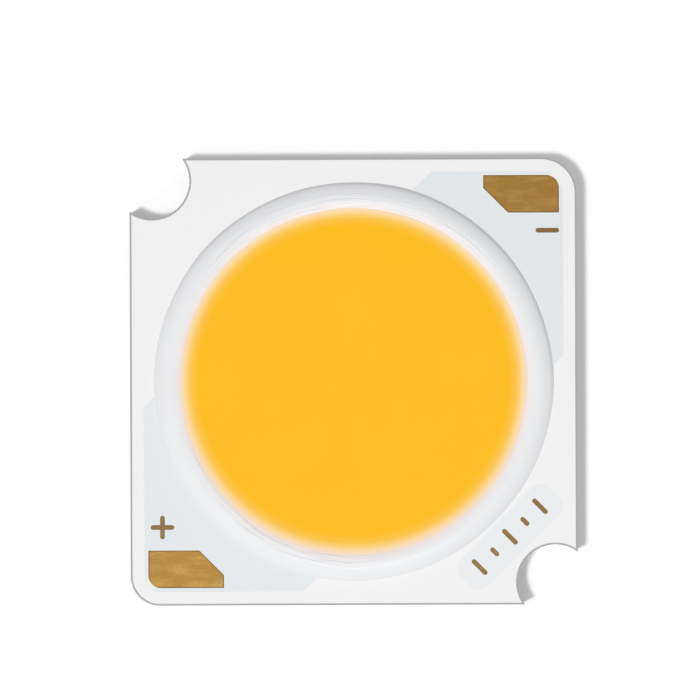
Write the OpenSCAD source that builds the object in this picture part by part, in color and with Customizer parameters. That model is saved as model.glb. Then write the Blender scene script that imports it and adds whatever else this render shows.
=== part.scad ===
// Chip-on-board LED: a square metal-core board that carries strings of LED chips
// under a round pool of phosphor gel, held in by a bead of silicone.
// Millimetres. The origin is the middle of the plate's underside, and +Z is the way it shines.

/* [Plate] */
// Side of the square aluminium plate
plate_side = 19; // [18.8:0.1:22]
// Thickness of the aluminium
plate_thick = 1; // [0.6:0.1:3]
// Radius of the plate's corner beside the negative pad
negative_corner_r = 1.5; // [0.8:0.05:1.8]
// Radius of the plate's corner beside the positive pad
positive_corner_r = 1.25; // [0.8:0.05:1.8]
// Diameter of the two screw notches
notch_dia = 3.2; // [2.4:0.1:3.6]
// Distance of a notch's centre from both edges of the plate
notch_inset = 0.95; // [0.7:0.05:1.1]

/* [Layers] */
// Thickness of the insulating laminate
laminate_thick = 0.1; // [0.06:0.01:0.2]
// Thickness of the copper
copper_thick = 0.035; // [0.018:0.001:0.07]
// Thickness of the nickel and gold where the mask leaves the copper bare
plating_thick = 0.005; // [0.003:0.001:0.01]
// Thickness of the solder mask on the laminate
mask_thick = 0.03; // [0.02:0.005:0.04]
// Thickness of the solder mask on the copper
mask_on_copper = 0.025; // [0.015:0.005:0.04]
// How far the solder mask stays back from the cut edges
mask_edge = 0.08; // [0.04:0.01:0.2]
// How far the mask's raised part reaches past the copper under it
mask_wrap = 0.05; // [0.03:0.01:0.1]

/* [Copper lands] */
// Distance of the copper lands from the plate's edges
land_gap = 0.65; // [0.4:0.05:0.7]
// Where the negative land starts on its long edge, from the plate's centre line
negative_land_start = 3.35; // [2.4:0.05:4]
// Where the positive land starts on its long edge, from the plate's centre line
positive_land_start = 2.2; // [1.6:0.05:4]
// Where both lands end on their other edge, from the plate's centre line
land_end = 1.1; // [0.6:0.05:2]
// Copper of the bus arcs hidden under the dam
bus_under_dam = 0.5; // [0.3:0.05:0.7]
// Angle that a bus arc runs past the centre line, away from its pad
bus_low_angle = 58; // [55:1:64]
// Angle that a bus arc runs past the centre line, on its pad's side
bus_high_angle = 72; // [66:1:80]

/* [Pads and signs] */
// Length of a solder pad
pad_length = 3.22; // [2.4:0.01:3.6]
// Width of a solder pad
pad_width = 1.6; // [1.3:0.05:1.8]
// Bevel on the pad's corner that faces the middle of the plate
pad_bevel = 1.05; // [0.5:0.05:1.1]
// Radius of the pad's corner that faces the plate's corner
pad_outer_r = 0.55; // [0.2:0.05:0.7]
// Mask that covers the copper's edge beside a pad
pad_margin = 0.1; // [0.05:0.01:0.2]
// Length of the polarity signs' strokes
sign_length = 1; // [0.6:0.05:1.2]
// Width of the polarity signs' strokes
sign_stroke = 0.2; // [0.12:0.01:0.3]
// Distance of the minus sign from its pad
minus_gap = 0.75; // [0.4:0.05:1.2]
// Distance of the plus sign's middle from its pad
plus_gap = 0.98; // [0.8:0.01:1.4]
// Distance of the plus sign from the edge of its land
plus_inset = 0.21; // [0.1:0.01:0.3]

/* [Marking patch] */
// Length of the copper patch beside the lower notch
patch_length = 5.2; // [4.6:0.1:5.4]
// Depth of the patch, towards the notch
patch_depth = 1.5; // [1.2:0.05:1.6]
// Corner radius of the patch
patch_r = 0.45; // [0.2:0.05:0.6]
// Distance of the patch from the dam's foot
patch_gap = 0.1; // [0.06:0.01:0.2]
// Laminate always left between the patch and the plate's edges and notches
patch_keepout = 0.3; // [0.2:0.01:0.35]
// Pitch of the index ticks
tick_pitch = 0.91; // [0.6:0.01:0.95]
// Length of the long index ticks
tick_length = 0.86; // [0.6:0.02:1]
// Length of the short index ticks
tick_short = 0.46; // [0.3:0.02:0.56]
// Width of the index ticks
tick_stroke = 0.2; // [0.12:0.01:0.3]

/* [Dam] */
// Diameter of the dam's crest
dam_dia = 15.4; // [15:0.1:15.6]
// Width of the dam at its foot
dam_width = 1.6; // [1.2:0.05:1.7]
// Height of the dam above the laminate
dam_height = 0.5; // [0.4:0.01:0.7]
// Ledge of laminate and copper inside the dam
bond_ledge = 0.45; // [0.4:0.01:0.55]
// Distance of the copper from the laminate's round window
bus_setback = 0.05; // [0.03:0.01:0.08]
// Dam that reaches inwards past the mask's round opening
mask_setback = 0.15; // [0.05:0.01:0.25]

/* [Phosphor gel] */
// Drop from the dam's crest to the flat surface of the gel
gel_drop = 0.1; // [0.07:0.01:0.13]
// Radius of the curve in which the gel climbs the dam
meniscus_r = 5; // [4.6:0.1:8]
// Distance of that curve's start from the dam's foot
meniscus_run = 0.1; // [0:0.01:0.12]

/* [Chips] */
// Strings of chips, side by side
string_count = 6; // [4:1:6]
// Chips in each string
chips_per_string = 12; // [8:1:12]
// Distance of the outermost strings' centre lines from the chip field's rim
outer_string_gap = 1.55; // [1.4:0.05:1.8]
// How far each chip stands to one side of its string's centre line
chip_offset = 0.45; // [0.35:0.01:0.48]
// Side of a square chip
chip_side = 0.5; // [0.35:0.01:0.55]
// Thickness of a chip
chip_thick = 0.12; // [0.08:0.01:0.16]
// Thickness of the adhesive under a chip
attach_thick = 0.015; // [0.01:0.001:0.03]
// Adhesive squeezed out round a chip
attach_margin = 0.03; // [0.01:0.005:0.05]
// Bare plate left between the outermost chips and the laminate
chip_clearance = 0.15; // [0.1:0.01:0.3]
// Distance between a chip's two bonds
bond_pitch = 0.3; // [0.2:0.01:0.34]

/* [Bond wires] */
// Diameter of the gold wire
wire_dia = 0.025; // [0.018:0.001:0.028]
// Rise of a wire's loop above its bonds
loop_rise = 0.2; // [0.15:0.01:0.24]
// Diameter of a bond
bond_dia = 0.08; // [0.06:0.005:0.1]
// Height of a bond
bond_height = 0.03; // [0.03:0.002:0.04]
// Distance of a wire's outer bond from the bus arc's inner edge
bond_inset = 0.2; // [0.1:0.01:0.28]

/* [Hidden] */
$fn = 96;
strings = [1 : string_count];

// Heights of the layers
laminate_top = plate_thick + laminate_thick;
copper_top = laminate_top + copper_thick;
plated_top = copper_top + plating_thick;
mask_top = laminate_top + mask_thick;
raised_top = copper_top + mask_on_copper;
dam_top = laminate_top + dam_height;
gel_level = dam_top - gel_drop;
attach_top = plate_thick + attach_thick;
chip_top = attach_top + chip_thick;

// Radii from the middle of the light field
dam_r = dam_dia / 2;
dam_foot_r = dam_r - dam_width / 2;
window_r = dam_foot_r - bond_ledge;
bus_inner_r = window_r + bus_setback;
bus_outer_r = dam_foot_r + bus_under_dam;
mask_inner_r = dam_foot_r + mask_setback;
chip_field_r = window_r - chip_clearance;
string_pitch = 2 * (chip_field_r - outer_string_gap) / (string_count - 1);
bond_r = bus_inner_r + bond_inset;

// The dam's section is a circle's cap
bead_r = (pow(dam_width / 2, 2) + pow(dam_height, 2)) / (2 * dam_height);

half_side = plate_side / 2;
notch_centre = half_side - notch_inset;
land_edge = half_side - land_gap;
pad_edge = land_edge - pad_margin;
patch_centre = dam_r + dam_width / 2 + patch_gap + patch_depth / 2;
tick_count = 5;
far = 2 * plate_side;
through = 1;

// ---- outlines ----

// Takes the square corner at (x, y) off to a radius; sx and sy point out of the corner.
module corner_round(x, y, sx, sy, r) {
    translate([x - sx * r, y - sy * r])
        scale([sx, sy])
            difference() {
                square(r + through);
                circle(r);
            }
}

// The plate's outline, drawn back by inset on all its edges.
module plate_outline(inset = 0) {
    half = half_side - inset;
    difference() {
        square(2 * half, center = true);
        corner_round(half, half, 1, 1, negative_corner_r - inset);
        corner_round(-half, -half, -1, -1, positive_corner_r - inset);
        for (side = [-1, 1])
            translate([side * notch_centre, -side * notch_centre])
                circle(notch_dia / 2 + inset);
    }
}

// A sector of the ring between two radii.
module ring_sector(r1, r2, from, to) {
    mid = (from + to) / 2;
    reach = 2 * r2;
    intersection() {
        difference() {
            circle(r2);
            circle(r1);
        }
        polygon([
            [0, 0],
            reach * [cos(from), sin(from)],
            reach * [cos(mid), sin(mid)],
            reach * [cos(to), sin(to)]
        ]);
    }
}

// A land in the plate's +X +Y corner with its bus arc, made larger by grow on all its edges.
module land(corner_r, start, grow = 0) {
    edge = land_edge + grow;
    shift = grow * (1 - sqrt(2));
    depth = edge / 2;
    swell = atan(grow / bus_inner_r);
    difference() {
        polygon([
            [edge, land_end + shift],
            [edge, edge],
            [start + shift, edge],
            [start + shift - depth, edge - depth],
            [edge - depth, land_end + shift - depth]
        ]);
        circle(bus_inner_r - grow);
        corner_round(edge, edge, 1, 1, corner_r - land_gap + grow);
    }
    ring_sector(bus_inner_r - grow, bus_outer_r + grow, -bus_low_angle - swell, bus_high_angle + swell);
}

module negative_land(grow = 0) {
    land(negative_corner_r, negative_land_start, grow);
}

module positive_land(grow = 0) {
    rotate(180)
        land(positive_corner_r, positive_land_start, grow);
}

// The middle of the marking patch, across the diagonal between the dam and the lower notch.
module on_patch() {
    rotate(-45)
        translate([patch_centre, 0])
            children();
}

module patch(grow = 0) {
    x = patch_depth / 2 + grow;
    y = patch_length / 2 + grow;
    intersection() {
        plate_outline(patch_keepout - grow);
        on_patch()
            difference() {
                square([2 * x, 2 * y], center = true);
                for (sx = [-1, 1], sy = [-1, 1])
                    corner_round(sx * x, sy * y, sx, sy, patch_r + grow);
            }
    }
}

// A round-ended stroke along X.
module stroke(length, width) {
    square([length - width, width], center = true);
    for (side = [-1, 1])
        translate([side * (length - width) / 2, 0])
            circle(width / 2);
}

// A solder pad's opening in the mask, in the plate's +X +Y corner.
module pad() {
    x = pad_edge - pad_length;
    y = pad_edge - pad_width;
    difference() {
        polygon([
            [pad_edge, y],
            [pad_edge, pad_edge],
            [x, pad_edge],
            [x, y + pad_bevel],
            [x + pad_bevel, y]
        ]);
        corner_round(pad_edge, pad_edge, 1, 1, pad_outer_r);
    }
}

module minus_sign() {
    translate([pad_edge - sign_length / 2, pad_edge - pad_width - minus_gap])
        stroke(sign_length, sign_stroke);
}

module plus_sign() {
    translate([plus_inset + sign_length / 2 - land_edge, pad_width + plus_gap - pad_edge])
        for (turn = [0, 90])
            rotate(turn)
                stroke(sign_length, sign_stroke);
}

// The mask's openings over each land.
module negative_openings() {
    pad();
    minus_sign();
}

module positive_openings() {
    rotate(180)
        pad();
    plus_sign();
}

// Long and short ticks in turn, a plain index where the board can be marked.
module index_ticks() {
    on_patch()
        for (i = [0 : tick_count - 1])
            translate([0, (i - (tick_count - 1) / 2) * tick_pitch])
                stroke(i % 2 == 0 ? tick_length : tick_short, tick_stroke);
}

// ---- board ----

// A flat layer between two heights.
module layer(from, to) {
    translate([0, 0, from])
        linear_extrude(to - from)
            children();
}

module aluminium_base() {
    color("silver")
        layer(0, plate_thick)
            plate_outline();
}

module insulation_layer() {
    color("darkgray")
        layer(plate_thick, laminate_top)
            difference() {
                plate_outline();
                circle(window_r);
            }
}

// The bare inner part of a land's bus arc, where the wires are bonded.
module bond_shelf() {
    intersection() {
        children();
        circle(mask_inner_r);
    }
}

module positive_copper() {
    color("goldenrod") {
        layer(laminate_top, copper_top)
            positive_land();
        layer(copper_top, plated_top) {
            positive_openings();
            bond_shelf()
                positive_land();
        }
    }
}

module negative_copper() {
    color("darkgoldenrod") {
        layer(laminate_top, copper_top)
            negative_land();
        layer(copper_top, plated_top) {
            negative_openings();
            bond_shelf()
                negative_land();
        }
    }
}

module marking_copper() {
    color("goldenrod") {
        layer(laminate_top, copper_top)
            patch();
        layer(copper_top, plated_top)
            index_ticks();
    }
}

// Where the mask stands higher, because copper lies under it.
module raised_areas() {
    positive_land(mask_wrap);
    negative_land(mask_wrap);
    patch(mask_wrap);
}

module all_copper() {
    positive_copper();
    negative_copper();
    marking_copper();
}

module solder_mask() {
    color("whitesmoke")
        difference() {
            union() {
                layer(laminate_top, mask_top)
                    plate_outline(mask_edge);
                layer(laminate_top, raised_top)
                    raised_areas();
            }
            all_copper();
            layer(plate_thick, dam_top) {
                circle(mask_inner_r);
                positive_openings();
                negative_openings();
                index_ticks();
            }
        }
}

// ---- light field ----

// What is left of an outline outside the mask's round opening.
module outside_mask_opening() {
    difference() {
        children();
        circle(mask_inner_r);
    }
}

// The dispensed bead's section, beside the axis.
module bead_section() {
    intersection() {
        translate([dam_r, dam_top - bead_r])
            circle(bead_r);
        translate([dam_r - dam_width, laminate_top])
            square([2 * dam_width, 2 * dam_height]);
    }
}

module silicone_dam() {
    color("white")
        difference() {
            rotate_extrude()
                bead_section();
            layer(laminate_top, mask_top)
                outside_mask_opening()
                    square(far, center = true);
            layer(laminate_top, raised_top)
                outside_mask_opening()
                    raised_areas();
            all_copper();
        }
}

// The gel's section: level in the middle, climbing the dam in one curve.
module gel_section() {
    level_r = dam_foot_r - meniscus_run;
    difference() {
        union() {
            translate([0, plate_thick])
                square([window_r, laminate_thick]);
            translate([0, laminate_top])
                square([level_r, gel_level - laminate_top]);
            difference() {
                translate([level_r, laminate_top])
                    square([dam_r - level_r, dam_height]);
                translate([level_r, gel_level + meniscus_r])
                    circle(meniscus_r);
            }
        }
        bead_section();
    }
}

module phosphor_gel() {
    color("orange")
        difference() {
            rotate_extrude()
                gel_section();
            positive_copper();
            negative_copper();
            for (s = strings) {
                die_attach(s);
                chips(s);
                bond_wires(s);
            }
        }
}

function string_y(s) = (s - (string_count + 1) / 2) * string_pitch;

// Half of the way from a string's first chip to its last.
function string_half(s) =
    let (reach = abs(string_y(s)) + chip_offset + chip_side / 2)
    sqrt(pow(chip_field_r, 2) - pow(reach, 2)) - chip_side / 2;

function chip_xy(s, i) = [
    (2 * i / (chips_per_string - 1) - 1) * string_half(s),
    string_y(s) + (i % 2 == 0 ? chip_offset : -chip_offset)
];

// Square blocks at the places of a string's chips.
module string_blocks(s, side, from, to) {
    for (i = [0 : chips_per_string - 1])
        translate(chip_xy(s, i))
            layer(from, to)
                square(side, center = true);
}

module die_attach(s) {
    color("gainsboro")
        string_blocks(s, chip_side + 2 * attach_margin, plate_thick, attach_top);
}

module chips(s) {
    color("steelblue")
        string_blocks(s, chip_side, attach_top, chip_top);
}

// A wire's bond on a bus arc, straight out from the chip that it feeds.
function bus_bond(side, y) = [side * sqrt(bond_r * bond_r - y * y), y, plated_top];

// A wire's bond on one side of a chip.
function chip_bond(s, i, side) =
    let (at = chip_xy(s, i))
    [at.x + side * bond_pitch / 2, at.y, chip_top];

// Bonds along a string, from the positive bus to the negative one, two to each wire.
function string_bonds(s) =
    let (last = chips_per_string - 1)
    concat(
        [bus_bond(-1, chip_xy(s, 0).y)],
        [for (i = [0 : last], side = [-1, 1]) chip_bond(s, i, side)],
        [bus_bond(1, chip_xy(s, last).y)]
    );

// One looped wire between the middles of two bonds.
module bond_wire(a, b) {
    span = norm(b - a);
    bend_r = (span * span / 4 + loop_rise * loop_rise) / (2 * loop_rise);
    half_angle = 2 * atan(2 * loop_rise / span);
    heading = atan2(b.y - a.y, b.x - a.x);
    tilt = asin((b.z - a.z) / span);
    translate((a + b) / 2 + [0, 0, bond_height / 2])
        rotate([0, -tilt, heading])
            translate([0, 0, loop_rise - bend_r])
                rotate([90, half_angle - 90, 0])
                    rotate_extrude(angle = 2 * half_angle, $fn = 24)
                        translate([bend_r, 0])
                            circle(wire_dia / 2);
}

module bond_wires(s) {
    bonds = string_bonds(s);
    color("gold") {
        for (at = bonds)
            translate(at)
                cylinder(h = bond_height, d = bond_dia, $fn = 24);
        for (i = [0 : 2 : len(bonds) - 1])
            bond_wire(bonds[i], bonds[i + 1]);
    }
}

aluminium_base();
insulation_layer();
positive_copper();
negative_copper();
marking_copper();
solder_mask();
silicone_dam();
phosphor_gel();
for (s = strings) {
    die_attach(s);
    chips(s);
    bond_wires(s);
}
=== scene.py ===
import math

import bmesh
import bpy
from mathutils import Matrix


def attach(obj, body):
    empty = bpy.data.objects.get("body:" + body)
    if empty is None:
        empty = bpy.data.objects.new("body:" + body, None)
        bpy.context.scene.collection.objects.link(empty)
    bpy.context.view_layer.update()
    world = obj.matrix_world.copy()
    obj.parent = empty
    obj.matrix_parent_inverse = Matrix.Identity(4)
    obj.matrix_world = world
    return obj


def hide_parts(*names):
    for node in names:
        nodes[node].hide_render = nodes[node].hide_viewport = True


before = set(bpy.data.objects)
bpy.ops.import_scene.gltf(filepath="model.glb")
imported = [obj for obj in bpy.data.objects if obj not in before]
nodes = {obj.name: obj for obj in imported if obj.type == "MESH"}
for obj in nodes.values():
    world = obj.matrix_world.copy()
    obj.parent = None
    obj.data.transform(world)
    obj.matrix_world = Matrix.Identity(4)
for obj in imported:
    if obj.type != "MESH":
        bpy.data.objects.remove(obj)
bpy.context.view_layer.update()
mm = 0.001
print("board: CAD frame loaded")


class Value:  # one output of a node, which takes part in arithmetic
    def __init__(self, finish, socket):
        self.finish = finish
        self.socket = socket

    def __add__(self, other):
        return self.finish.maths("ADD", self, other)

    def __radd__(self, other):
        return self.finish.maths("ADD", other, self)

    def __sub__(self, other):
        return self.finish.maths("SUBTRACT", self, other)

    def __rsub__(self, other):
        return self.finish.maths("SUBTRACT", other, self)

    def __mul__(self, other):
        return self.finish.maths("MULTIPLY", self, other)

    def __rmul__(self, other):
        return self.finish.maths("MULTIPLY", other, self)

    def __truediv__(self, other):
        return self.finish.maths("DIVIDE", self, other)


class Finish:  # a material, or the world, and the nodes that make its look
    def __init__(self, name, owner=None):
        self.owner = owner or bpy.data.materials.new(name)
        self.owner.use_nodes = True
        self.tree = self.owner.node_tree
        self.tree.nodes.clear()
        self.place = None

    def node(self, kind, settings=None, sockets=None, output=0):
        made = self.tree.nodes.new("ShaderNode" + kind)
        for name, value in (settings or {}).items():
            if name == "stops":
                self.setStops(made.color_ramp, value)
            else:
                setattr(made, name, value)
        for name, value in (sockets or {}).items():
            if isinstance(value, Value):
                self.tree.links.new(value.socket, made.inputs[name])
            else:
                made.inputs[name].default_value = value
        return Value(self, made.outputs[output]) if len(made.outputs) else made

    def setStops(self, ramp, stops):
        while len(ramp.elements) > 1:
            ramp.elements.remove(ramp.elements[-1])
        for count, (position, colour) in enumerate(stops):
            stop = ramp.elements[0] if count == 0 else ramp.elements.new(position)
            stop.position = position
            stop.color = colour

    def maths(self, operation, *values):
        return self.node("Math", {"operation": operation}, dict(enumerate(values)))

    # a smooth step from start to end, while the value goes from low to high
    def between(self, value, low, high, start=0.0, end=1.0):
        return self.node("MapRange", {"interpolation_type": "SMOOTHSTEP"}, {
            "Value": value, "From Min": low, "From Max": high, "To Min": start, "To Max": end})

    def mix(self, share, colourA, colourB):
        return self.node("Mix", {"data_type": "RGBA"}, {0: share, 6: colourA, 7: colourB}, output=2)

    def axes(self):  # X, Y and Z on the part, in millimetres
        if not self.place:
            spot = self.node("TexCoord", output="Object")
            scaled = self.node("VectorMath", {"operation": "SCALE"}, {0: spot, "Scale": 1 / mm})
            split = self.node("SeparateXYZ", None, {0: scaled})
            parts = split.socket.node.outputs
            self.place = (scaled, Value(self, parts[0]), Value(self, parts[1]), Value(self, parts[2]))
        return self.place

    def noise(self, scale, detail=3.0, roughness=0.55, stretch=None):  # scale is in features per millimetre
        spot = self.axes()[0]
        if stretch:
            spot = self.node("Mapping", None, {"Vector": spot, "Scale": stretch})
        return self.node("TexNoise", None,
                         {"Vector": spot, "Scale": scale, "Detail": detail, "Roughness": roughness})

    def bump(self, height, depth):  # depth is in millimetres
        return self.node("Bump", None, {"Height": height, "Distance": depth * mm, "Strength": 1.0})

    def principled(self, sockets):
        skin = self.node("BsdfPrincipled", None, sockets)
        self.node("OutputMaterial", None, {"Surface": skin})
        return self.owner


def radiusOf(finish, shift=0.0):  # distance from the part's middle, or from a point that lies shift along Y
    x, y = finish.axes()[1:3]
    y = y - shift
    return finish.maths("SQRT", x * x + y * y)


def clearSelection():
    if bpy.context.object and bpy.context.object.mode != "OBJECT":
        bpy.ops.object.mode_set(mode="OBJECT")
    bpy.ops.object.select_all(action="DESELECT")


def pickPiece(piece):
    clearSelection()
    piece.select_set(True)
    bpy.context.view_layer.objects.active = piece


def editPiece(piece, level="FACE"):
    pickPiece(piece)
    bpy.ops.object.mode_set(mode="EDIT")
    bpy.ops.mesh.select_mode(type=level)
    bpy.ops.mesh.select_all(action="DESELECT")
    return bmesh.from_edit_mesh(piece.data)


def settlePiece(piece, name):  # puts the piece's place into its mesh
    pickPiece(piece)
    bpy.ops.object.transform_apply(location=True, rotation=True, scale=True)
    piece.name = name
    piece.data.name = name


def dressPiece(piece, material):
    piece.data.materials.clear()
    piece.data.materials.append(material)


def smoothPiece(piece, angle):
    pickPiece(piece)
    bpy.ops.object.shade_smooth_by_angle(angle=math.radians(angle))


dam = {
    "crestRadius": 7.7, "height": 0.5, "halfWidth": 0.8, "seat": 1.1, "sink": 0.015,
    "sectionPoints": 72, "turnSteps": 320,
    "wobble": 0.018, "wobbleFrom": 7.3,
    "wobbleWaves": ((2, 1.0, 0.6), (5, 0.6, 2.1), (11, 0.35, 0.4)),  # waves in a turn, share and phase
    "wrinkle": 0.013, "wrinkleRadius": 7.42, "wrinkleWidth": 0.12,
    "wrinklePatches": ((2.05, 0.42, 1.0), (-2.15, 0.38, 0.8)),  # turn, width and share
    "ripples": ((17, 8, 1.0, 0.0), (29, -13, 0.7, 1.3), (61, 0, 0.4, 0.0)),  # per turn, per mm, share and phase
    "colour": (0.83, 0.835, 0.85, 1), "innerColour": (0.9, 0.825, 0.8, 1), "innerFade": (7.3, 7.75),
    # edgeShade and edgeFade are the painted shade on the bead's outer foot and the radii over which it comes in
    "cloudColour": (0.7, 0.71, 0.74, 1), "edgeShade": (0.56, 0.56, 0.58, 1), "edgeFade": (8.3, 8.45),
    "foldPatches": ((1.7, 1.2, 0.7), (-2.1, 0.8, 0.4)),  # turn, and half widths where folds start and are full
    "foldSpacing": (2.6, 5.0), "foldDepth": 0.03, "roughness": 0.33,
}


def wobbleOf(turn):  # how far the hand-laid bead strays from a true circle
    return sum(share * math.sin(count * turn + phase) for count, share, phase in dam["wobbleWaves"])


def wrinkleOf(turn, radius):  # fine folds where the gel has wet the bead's inner slope
    patches = sum(share * math.exp(-((turn - middle) / width) ** 2)
                  for middle, width, share in dam["wrinklePatches"])
    slope = math.exp(-((radius - dam["wrinkleRadius"]) / dam["wrinkleWidth"]) ** 2)
    ripple = sum(share * math.sin(around * turn + outwards * radius + phase)
                 for around, outwards, share, phase in dam["ripples"])
    return patches * slope * ripple


def makeDam():
    beadRadius = (dam["halfWidth"] ** 2 + dam["height"] ** 2) / (2 * dam["height"])
    centreZ = dam["seat"] + dam["height"] - beadRadius
    clearSelection()
    bpy.ops.mesh.primitive_circle_add(vertices=dam["sectionPoints"], radius=beadRadius * mm,
                                      location=(dam["crestRadius"] * mm, 0, centreZ * mm),
                                      rotation=(math.pi / 2, 0, 0))
    piece = bpy.context.object
    settlePiece(piece, "moulded_dam")
    editPiece(piece, "VERT")
    bpy.ops.mesh.select_all(action="SELECT")
    bpy.ops.mesh.bisect(plane_co=(0, 0, (dam["seat"] + dam["sink"]) * mm), plane_no=(0, 0, 1),
                        clear_inner=True, threshold=1e-7)
    cut = bmesh.from_edit_mesh(piece.data)
    for vert in cut.verts:
        vert.select = len(vert.link_edges) == 1
    cut.select_flush_mode()
    bpy.ops.mesh.edge_face_add()
    bpy.ops.mesh.select_all(action="SELECT")
    bpy.ops.mesh.spin(steps=dam["turnSteps"], angle=2 * math.pi, center=(0, 0, 0), axis=(0, 0, 1))
    bpy.ops.mesh.select_all(action="SELECT")
    bpy.ops.mesh.remove_doubles(threshold=1e-7)
    bpy.ops.mesh.normals_make_consistent(inside=False)
    bpy.ops.object.mode_set(mode="OBJECT")
    for vert in piece.data.vertices:
        turn = math.atan2(vert.co.y, vert.co.x)
        radius = math.hypot(vert.co.x, vert.co.y) / mm
        # the wrinkles die out at the foot, and the wobble grows outwards
        rise = min(1, max(0, (vert.co.z / mm - dam["seat"] - dam["sink"]) / 0.1))
        shift = dam["wobble"] * wobbleOf(turn) * (0.3 + 0.7 * max(0, radius - dam["wobbleFrom"]))
        vert.co.x *= 1 + shift / radius
        vert.co.y *= 1 + shift / radius
        vert.co.z += rise * dam["wrinkle"] * wrinkleOf(turn, radius) * mm
    smoothPiece(piece, 50)
    return piece


def siliconeFinish():
    finish = Finish("milkySilicone")
    radius = radiusOf(finish)
    cloud = finish.noise(1.4, 4)
    x, y = finish.axes()[1:3]
    colour = finish.mix(finish.between(radius, *dam["innerFade"]), dam["innerColour"], dam["colour"])
    colour = finish.mix(0.05 * cloud, colour, dam["cloudColour"])
    # painted shade on the bead's thin outer foot, on the side away from the lamps
    foot = finish.between(radius, *dam["edgeFade"]) * finish.between(y + 0.3 * x, 0.0, 5.0)
    colour = finish.mix(0.5 * foot, colour, dam["edgeShade"])
    # thin folds along the bead, on its upper side and its lower left
    turn = finish.maths("ARCTAN2", y, x)
    upper, lower = (finish.between(finish.maths("ABSOLUTE", turn - middle), start, full)
                    for middle, start, full in dam["foldPatches"])
    folded = (upper + lower) * finish.between(radius, 7.2, 7.35) * finish.between(radius, 8.2, 7.7)
    perTurn, perMm = dam["foldSpacing"]
    along = finish.node("CombineXYZ", None, {0: turn * perTurn, 1: radius * perMm})
    streak = finish.node("TexNoise", None, {"Vector": along, "Scale": 1.0, "Detail": 2.0, "Roughness": 0.5})
    folds = finish.between(streak, 0.3, 0.7) * folded
    skin = finish.bump(finish.noise(2.2, 2) * 0.2 + folds, dam["foldDepth"])
    return finish.principled({
        "Base Color": colour, "Roughness": dam["roughness"] + 0.08 * cloud, "IOR": 1.41, "Normal": skin,
    })


damPiece = makeDam()
dressPiece(damPiece, siliconeFinish())
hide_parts("silicone_dam")
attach(damPiece, "root")
print("board: silicone dam laid")


pads = {"start": (5.53, 7.15), "to": 8.75, "bevel": 13.73}  # bevel is X + Y along the cut corner


def padDepth(finish):  # how far a point lies inside the outline of a solder pad
    ownCorner = finish.axes()[1] * finish.axes()[2]  # below zero in the two corners with notches
    x, y = (finish.maths("ABSOLUTE", side) for side in finish.axes()[1:3])
    depth = finish.maths("MINIMUM", (x + y - pads["bevel"]) / math.sqrt(2), ownCorner)
    for edge in (pads["to"] - x, pads["to"] - y, x - pads["start"][0], y - pads["start"][1]):
        depth = finish.maths("MINIMUM", depth, edge)
    return depth


mask = {
    "lowTop": 1.13, "highTop": 1.16, "openingRadius": 7.3,
    "slopeIn": 0.02, "slopeOut": 0.08, "edgeDrop": 0.016, "flat": 0.002,
    "colour": (0.875, 0.872, 0.877, 1), "overCopper": (0.755, 0.792, 0.815, 1), "copperFade": (1.132, 1.158),
    "cloudColour": (0.78, 0.78, 0.8, 1), "halo": (0.9, 0.885, 0.85, 1), "haloWidth": 0.07,
    "roughness": 0.42,
}


def makeMask():
    piece = bpy.data.objects.new("printed_mask", nodes["solder_mask"].data.copy())
    bpy.context.scene.collection.objects.link(piece)
    settlePiece(piece, "printed_mask")
    editPiece(piece, "VERT")
    bpy.ops.mesh.select_all(action="SELECT")
    bpy.ops.mesh.remove_doubles(threshold=2e-7)
    bpy.ops.mesh.dissolve_limited(angle_limit=math.radians(0.5))
    lowTop, highTop, flat = mask["lowTop"] * mm, mask["highTop"] * mm, mask["flat"] * mm
    middle = (lowTop + highTop) / 2
    # a ring of faces on each side of every step
    for height, width in ((lowTop, mask["slopeOut"]), (highTop, mask["slopeIn"])):
        shape = editPiece(piece, "FACE")
        for face in shape.faces:
            face.select = face.normal.z > 0.9 and abs(face.calc_center_median().z - height) < flat
        bmesh.update_edit_mesh(piece.data)
        bpy.ops.mesh.inset(thickness=width * mm, use_boundary=True, use_even_offset=True)
    shape = editPiece(piece, "VERT")
    # the step's foot goes up to its head, and both to half height, so that the rings become one soft slope
    steps = [face for face in shape.faces
             if abs(face.normal.z) < 0.1 and abs(face.calc_center_median().z - middle) < flat]
    for vert in {vert for face in steps for vert in face.verts}:
        if lowTop - flat < vert.co.z < highTop + flat:
            vert.co.z = middle
    # the ink thins out towards the cut edges
    sides = [face for face in shape.faces if abs(face.normal.z) < 0.1 and face.calc_center_median().z < lowTop]
    for vert in {vert for face in sides for vert in face.verts}:
        if abs(vert.co.z - lowTop) < flat and math.hypot(vert.co.x, vert.co.y) > mask["openingRadius"] * mm:
            vert.co.z -= mask["edgeDrop"] * mm
    bmesh.update_edit_mesh(piece.data)
    bpy.ops.mesh.select_all(action="SELECT")
    bpy.ops.mesh.remove_doubles(threshold=2e-7)
    bpy.ops.mesh.normals_make_consistent(inside=False)
    bpy.ops.object.mode_set(mode="OBJECT")
    return piece


def maskFinish():
    finish = Finish("whiteSolderMask")
    x, y, height = finish.axes()[1:]
    cloud = finish.noise(0.6, 4)
    # the small patch under the marking shows less than the two lands
    lift = finish.between(height, *mask["copperFade"]) * finish.between(x * y, -30.0, -10.0, 0.5, 1.0)
    colour = finish.mix(lift, mask["colour"], mask["overCopper"])
    colour = finish.mix(0.06 * cloud, colour, mask["cloudColour"])
    halo = finish.between(padDepth(finish), -mask["haloWidth"], -0.01)
    colour = finish.mix(0.8 * halo, colour, mask["halo"])
    grain = finish.bump(finish.noise(16, 3), 0.0015)
    return finish.principled({
        "Base Color": colour, "Roughness": mask["roughness"] + 0.1 * cloud, "IOR": 1.5, "Normal": grain,
    })


maskPiece = makeMask()
dressPiece(maskPiece, maskFinish())
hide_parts("solder_mask")
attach(maskPiece, "root")
print("board: solder mask printed")


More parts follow.
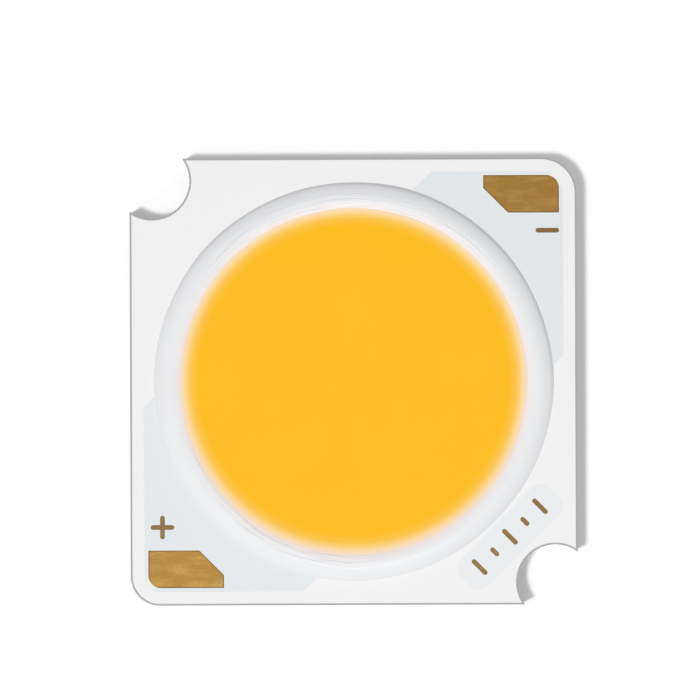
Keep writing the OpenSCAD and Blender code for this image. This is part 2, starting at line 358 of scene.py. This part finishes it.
gel = {
    "colour": (0.975, 0.52, 0.004, 1), "deepColour": (0.97, 0.495, 0.002, 1), "roughness": 0.45,
    "poolFade": (6.5, 6.75), "offCentre": 0.04,  # the fill is a little off the middle
    "rim": [(6.62, (0.975, 0.51, 0.006, 1)), (6.88, (0.975, 0.535, 0.045, 1)), (7.01, (0.975, 0.585, 0.11, 1)),
            (7.14, (0.975, 0.66, 0.24, 1)), (7.26, (0.96, 0.71, 0.41, 1)), (7.39, (0.93, 0.74, 0.56, 1)),
            (7.52, (0.89, 0.77, 0.69, 1))],
}


def phosphorFinish():
    finish = Finish("phosphorGel")
    radius = radiusOf(finish, gel["offCentre"]) + gel["offCentre"]
    start, end = gel["rim"][0][0], gel["rim"][-1][0]
    along = (radius - start) / (end - start)
    stops = [((at - start) / (end - start), colour) for at, colour in gel["rim"]]
    rim = finish.node("ValToRGB", {"stops": stops}, {"Fac": along})
    cloud = finish.noise(0.45, 4, 0.6)
    pool = finish.mix(cloud, gel["deepColour"], gel["colour"])
    colour = finish.mix(finish.between(radius, *gel["poolFade"]), pool, rim)
    grain = finish.bump(finish.noise(22, 2), 0.001)
    return finish.principled({
        "Base Color": colour, "Roughness": gel["roughness"] + 0.06 * cloud, "IOR": 1.41,
        "Specular IOR Level": 0.35, "Normal": grain,
    })


plating = {
    "light": {"colour": (0.49, 0.275, 0.056, 1), "patch": (0.61, 0.37, 0.1, 1),
              "shade": (0.33, 0.19, 0.048, 1)},
    "dark": {"colour": (0.42, 0.225, 0.045, 1), "patch": (0.5, 0.29, 0.068, 1),
             "shade": (0.28, 0.16, 0.042, 1)},
    # rim is the painted shade colour for the pads' edges and for the signs and ticks
    "rim": (0.17, 0.125, 0.075, 1), "edgeShadeWidth": 0.085, "edgeShadeShare": 0.85, "signShadeShare": 0.6,
}


def platingFinish(name, shades):
    finish = Finish(name)
    streak = finish.noise(1.7, 4, 0.6, (0.45, 1.6, 1.0))
    speck = finish.noise(14, 3, 0.6)
    colour = finish.mix(finish.between(streak, 0.42, 0.68), shades["colour"], shades["patch"])
    colour = finish.mix(finish.between(speck, 0.5, 0.75) * 0.5, colour, shades["shade"])
    depth = padDepth(finish)
    # painted shade round the pads' edges, where the mask's wall stands over them, and on the signs and ticks
    # away from the pads
    share = finish.between(depth, -0.3, -0.15, plating["signShadeShare"], plating["edgeShadeShare"])
    rim = finish.between(depth, 0.0, plating["edgeShadeWidth"], 1.0, 0.0) * share
    colour = finish.mix(rim, colour, plating["rim"])
    grain = finish.bump(speck, 0.004)
    return finish.principled({
        "Base Color": colour, "Metallic": 0.7, "Roughness": 0.45 + 0.2 * speck, "Normal": grain,
    })


laminate = {"resin": (0.34, 0.34, 0.35, 1), "fibre": (0.47, 0.47, 0.48, 1), "roughness": 0.6}


def laminateFinish():
    finish = Finish("greyLaminate")
    fibre = finish.noise(9, 3, 0.6)
    return finish.principled({
        "Base Color": finish.mix(fibre, laminate["resin"], laminate["fibre"]),
        "Roughness": laminate["roughness"] + 0.15 * fibre, "IOR": 1.5, "Normal": finish.bump(fibre, 0.004),
    })


plate = {
    "dark": (0.62, 0.63, 0.65, 1), "bright": (0.83, 0.84, 0.86, 1), "roughness": 0.5,
    "breakLevel": (0.28, 0.4),
}


def aluminiumFinish():
    finish = Finish("milledAluminium")
    height = finish.axes()[3]
    # rolling grain on the underside and under the gel, and upright marks of the punch on the edges
    rolled = finish.noise(3.0, 4, 0.6, (0.12, 5.0, 1.0))
    sheared = finish.noise(4.0, 3, 0.6, (5.0, 5.0, 0.35))
    # the rougher break lies below the punched band
    torn = finish.between(height + 0.12 * sheared, *plate["breakLevel"])
    grain = finish.mix(torn, rolled, sheared)
    return finish.principled({
        "Base Color": finish.mix(grain, plate["dark"], plate["bright"]), "Metallic": 1.0,
        "Roughness": plate["roughness"] - 0.16 * torn + 0.12 * sheared, "Normal": finish.bump(grain, 0.01),
    })


chips = {"dark": (0.34, 0.44, 0.6, 1), "bright": (0.55, 0.66, 0.8, 1), "roughness": 0.12}


def chipFinish():
    finish = Finish("chipCrystal")
    speck = finish.noise(12, 2)
    colour = finish.mix(speck, chips["dark"], chips["bright"])
    return finish.principled({
        "Base Color": colour, "Roughness": chips["roughness"] + 0.1 * speck, "IOR": 1.77,
    })


adhesive = {"dark": (0.74, 0.73, 0.69, 1), "bright": (0.87, 0.86, 0.82, 1), "roughness": 0.3}


def adhesiveFinish():
    finish = Finish("dieAdhesive")
    cloud = finish.noise(8, 3)
    colour = finish.mix(cloud, adhesive["dark"], adhesive["bright"])
    return finish.principled({
        "Base Color": colour, "Roughness": adhesive["roughness"] + 0.1 * cloud, "IOR": 1.5,
    })


wires = {"dark": (0.86, 0.6, 0.22, 1), "bright": (0.98, 0.78, 0.36, 1), "roughness": 0.2}


def wireFinish():
    finish = Finish("goldWire")
    drawn = finish.noise(40, 2, 0.5, (0.2, 1.0, 1.0))
    colour = finish.mix(drawn, wires["dark"], wires["bright"])
    return finish.principled({
        "Base Color": colour, "Metallic": 1.0, "Roughness": wires["roughness"] + 0.1 * drawn,
    })


lightPlating = platingFinish("lightGoldPlating", plating["light"])
darkPlating = platingFinish("darkGoldPlating", plating["dark"])
chipCrystal, dieAdhesive, goldWire = chipFinish(), adhesiveFinish(), wireFinish()
for name, material in (("phosphor_gel", phosphorFinish()), ("positive_copper", lightPlating),
                       ("negative_copper", darkPlating), ("marking_copper", lightPlating),
                       ("insulation_layer", laminateFinish()), ("aluminium_base", aluminiumFinish())):
    dressPiece(nodes[name], material)
for name, node in nodes.items():
    if name.startswith("chip_string"):
        dressPiece(node, chipCrystal)
    elif name.startswith("die_attach"):
        dressPiece(node, dieAdhesive)
    elif name.startswith("bond_wires"):
        dressPiece(node, goldWire)
print("board: CAD nodes finished")


studio = {
    "floorSide": 0.3, "floorDrop": 0.00002, "floorWhite": 0.96, "floorLift": 0.04, "floorGrey": 0.8,
    "skyLevel": 0.5,
    "keyFrom": (-0.47, -0.26, 1.13), "keyShare": 0.22, "keySide": 0.18, "paperShare": 0.325,
    "softFrom": (0.0, -0.5, 0.94), "softShare": 0.3, "softSide": 0.42,
    "lampAway": 1.0,
}


def whiteRays(finish):  # where the camera, or a mirror or lens in its view, looks straight at the studio
    rays = finish.node("LightPath").socket.node.outputs
    seen, gloss, through, depth = (Value(finish, rays[name]) for name in (
        "Is Camera Ray", "Is Glossy Ray", "Is Transmission Ray", "Ray Depth"))
    first = finish.maths("LESS_THAN", depth, 1.5)
    return finish.node("Clamp", None, {"Value": seen + (gloss + through) * first})


def makeFloor():
    clearSelection()
    bpy.ops.mesh.primitive_plane_add(size=studio["floorSide"], location=(0, 0, -studio["floorDrop"]))
    floor = bpy.context.object
    settlePiece(floor, "studio_floor")
    finish = Finish("studioPaper")
    paper = finish.node("BsdfDiffuse", None, {"Color": (studio["floorWhite"],) * 3 + (1,)})
    glow = finish.node("Emission", None, {"Color": (1, 1, 1, 1), "Strength": studio["floorLift"]})
    lifted = finish.node("AddShader", None, {0: paper, 1: glow})
    plain = finish.node("BsdfDiffuse", None, {"Color": (studio["floorGrey"],) * 3 + (1,)})
    surface = finish.node("MixShader", None, {0: whiteRays(finish), 1: plain, 2: lifted})
    finish.node("OutputMaterial", None, {"Surface": surface})
    dressPiece(floor, finish.owner)
    return floor


def makeSky():
    world = bpy.data.worlds.new("studioSky")
    bpy.context.scene.world = world
    finish = Finish("studioSky", world)
    sky = finish.node("Background", None, {"Color": (1, 1, 1, 1), "Strength": studio["skyLevel"]})
    white = finish.node("Background", None, {"Color": (1, 1, 1, 1), "Strength": 1.0})
    surface = finish.node("MixShader", None, {0: whiteRays(finish), 1: sky, 2: white})
    finish.node("OutputWorld", None, {"Surface": surface})


# share is the part of a white sheet's light that comes from this lamp
def makeLamp(name, towards, share, side):
    length = math.sqrt(sum(part * part for part in towards))
    place = [part / length * studio["lampAway"] for part in towards]
    power = share * math.pi ** 2 * studio["lampAway"] ** 2 / (towards[2] / length)
    light = bpy.data.lights.new(name, "AREA")
    light.shape = "DISK"
    light.size = side
    light.energy = power
    lamp = bpy.data.objects.new(name, light)
    bpy.context.scene.collection.objects.link(lamp)
    lamp.location = place
    lamp.rotation_euler = (math.acos(towards[2] / length), 0, math.atan2(towards[1], towards[0]) + math.pi / 2)
    return lamp


def makeLamps(floor):
    key = makeLamp("keyLamp", studio["keyFrom"], studio["keyShare"], studio["keySide"])
    key.visible_glossy = False  # the highlights come from the soft lamp alone
    soft = makeLamp("softLamp", studio["softFrom"], studio["softShare"], studio["softSide"])
    flagged = bpy.data.collections.new("flaggedFloor")  # a flag keeps the soft lamp off the floor
    flagged.objects.link(floor)
    soft.light_linking.receiver_collection = flagged
    flagged.collection_objects[0].light_linking.link_state = "EXCLUDE"
    paperLamp = makeLamp("paperLamp", studio["keyFrom"], studio["paperShare"], studio["keySide"])
    onlyFloor = bpy.data.collections.new("onlyFloor")  # this lamp deepens the shadow and lights nothing else
    onlyFloor.objects.link(floor)
    paperLamp.light_linking.receiver_collection = onlyFloor


makeSky()
makeLamps(makeFloor())
print("board: studio lit")


view = {"lens": 150, "sensor": 36, "frameWidth": 29.74, "x": -0.15, "y": 1.34, "level": 1.13, "roll": -0.2}


def makeCamera():
    data = bpy.data.cameras.new("topCamera")
    data.lens = view["lens"]
    data.sensor_width = view["sensor"]
    data.clip_start = 0.001
    data.clip_end = 10
    camera = bpy.data.objects.new("topCamera", data)
    bpy.context.scene.collection.objects.link(camera)
    away = view["frameWidth"] * view["lens"] / view["sensor"]
    camera.location = (view["x"] * mm, view["y"] * mm, (view["level"] + away) * mm)
    camera.rotation_euler = (0, 0, math.radians(view["roll"]))
    bpy.context.scene.camera = camera


makeCamera()
bpy.context.scene.view_settings.view_transform = "Standard"
clearSelection()
